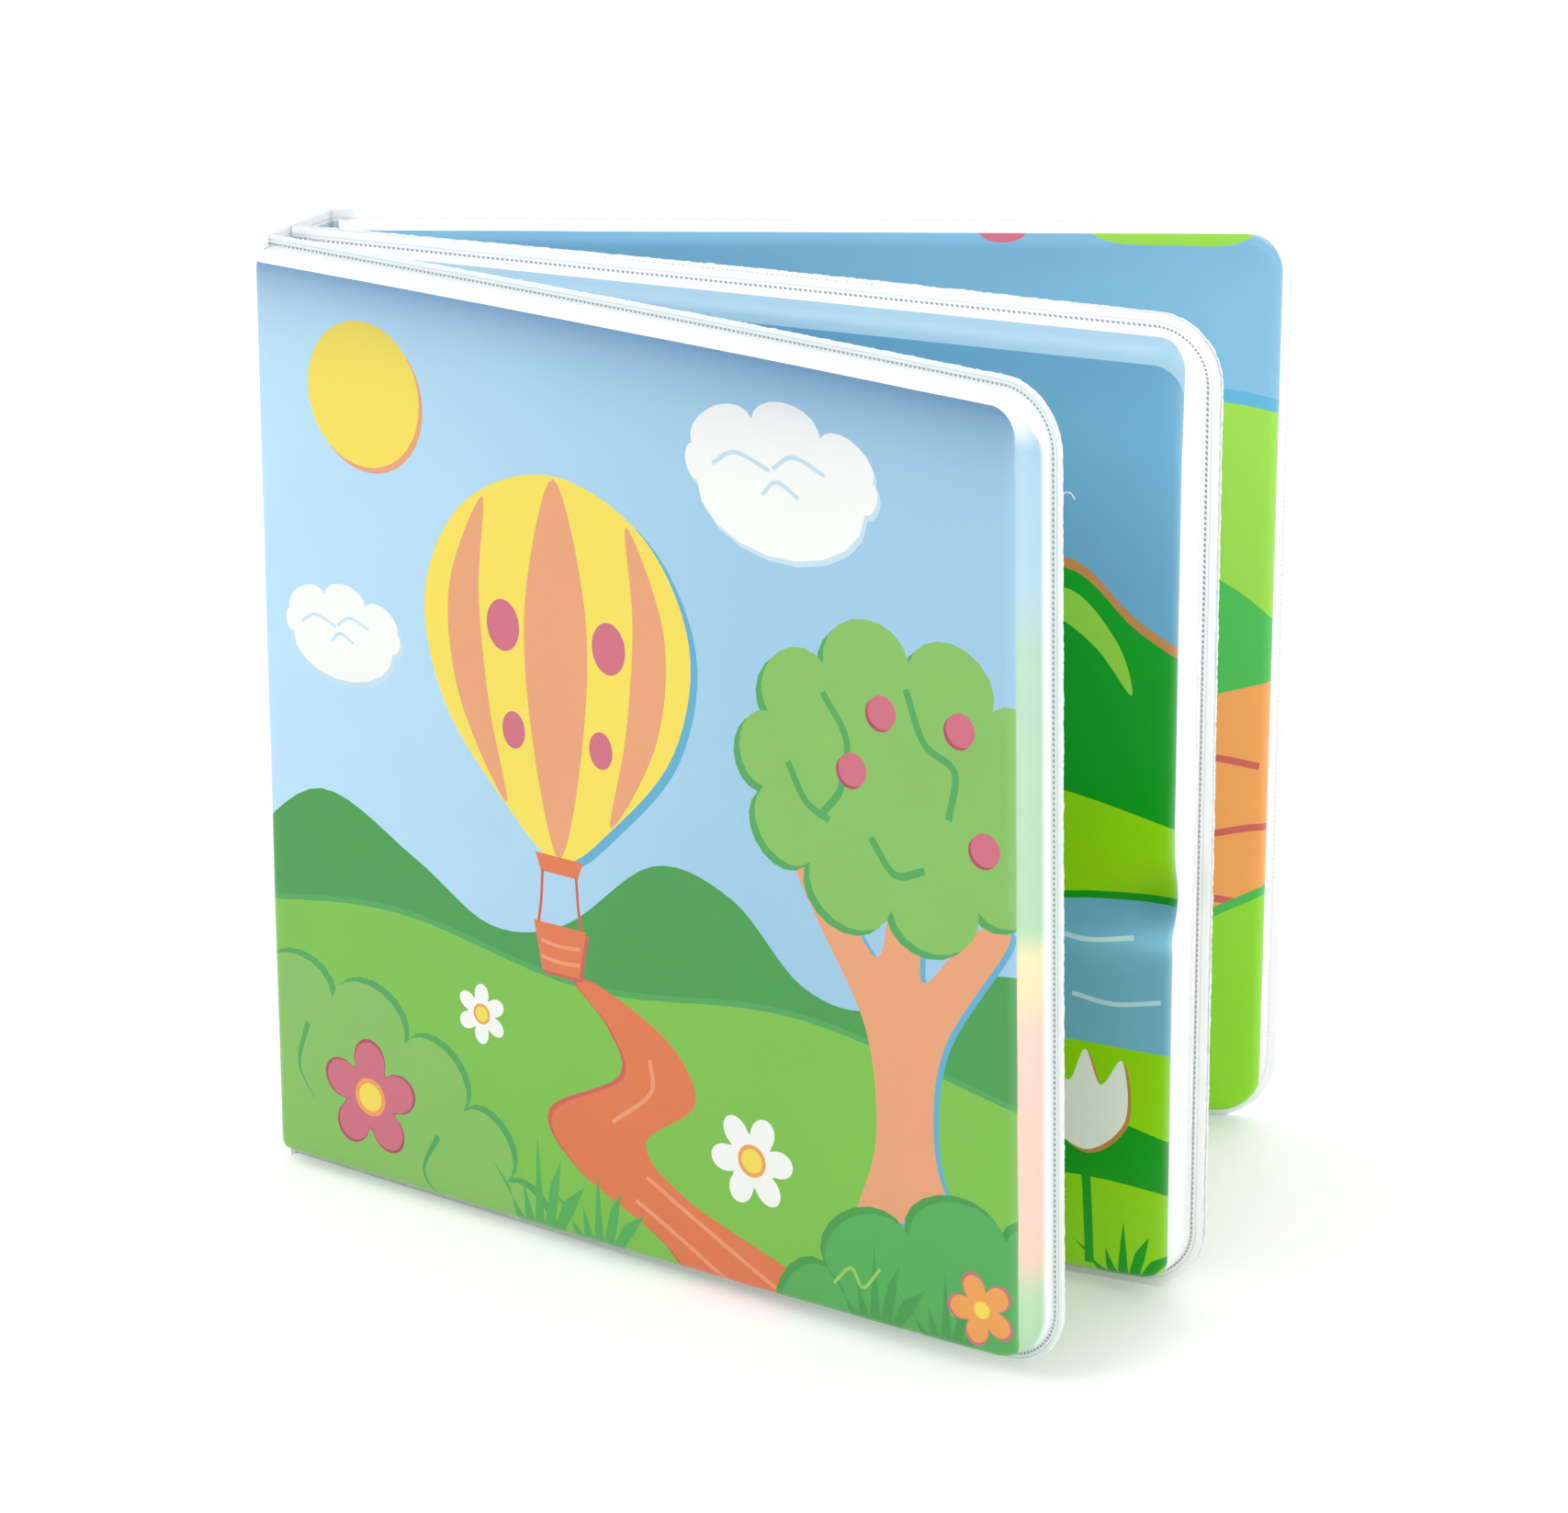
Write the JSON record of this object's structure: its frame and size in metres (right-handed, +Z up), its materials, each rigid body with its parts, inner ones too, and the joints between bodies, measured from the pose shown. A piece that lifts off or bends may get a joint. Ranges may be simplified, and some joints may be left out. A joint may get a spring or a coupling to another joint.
{
  "type": "bath book",
  "caption": "Soft square bath book of padded vinyl leaves, standing on its lower edges with both covers swung open.",
  "frame": {"origin": "lower end of the pages' fold, where it meets the spine's inner face", "axes": "+Z up along the spine, +X from the spine to the fore edge of the pages, +Y from the front cover to the back cover"},
  "size_m": [0.1419, 0.11, 0.14],
  "materials": {
    "printed_film": "satin",
    "foam": "matte"
  },
  "bodies": {
    "root": {"spine": "printed_film", "pages": "printed_film", "near_page_pad": "foam", "far_page_pad": "foam"},
    "front_cover": {"front_cover": "printed_film", "front_cover_pad": "foam"},
    "back_cover": {"back_cover": "printed_film", "back_cover_pad": "foam"}
  },
  "joints": [
    {"name": "front_cover_hinge", "type": "hinge", "parent": "root", "child": "front_cover", "pos_m": [-0.0006, -0.006, 0], "axis": [0, 0, -1], "range_deg": [-13.3, 166.7]},
    {"name": "back_cover_hinge", "type": "hinge", "parent": "root", "child": "back_cover", "pos_m": [-0.0006, 0.012, 0], "axis": [0, 0, 1], "range_deg": [-23.2, 156.8]}
  ]
}
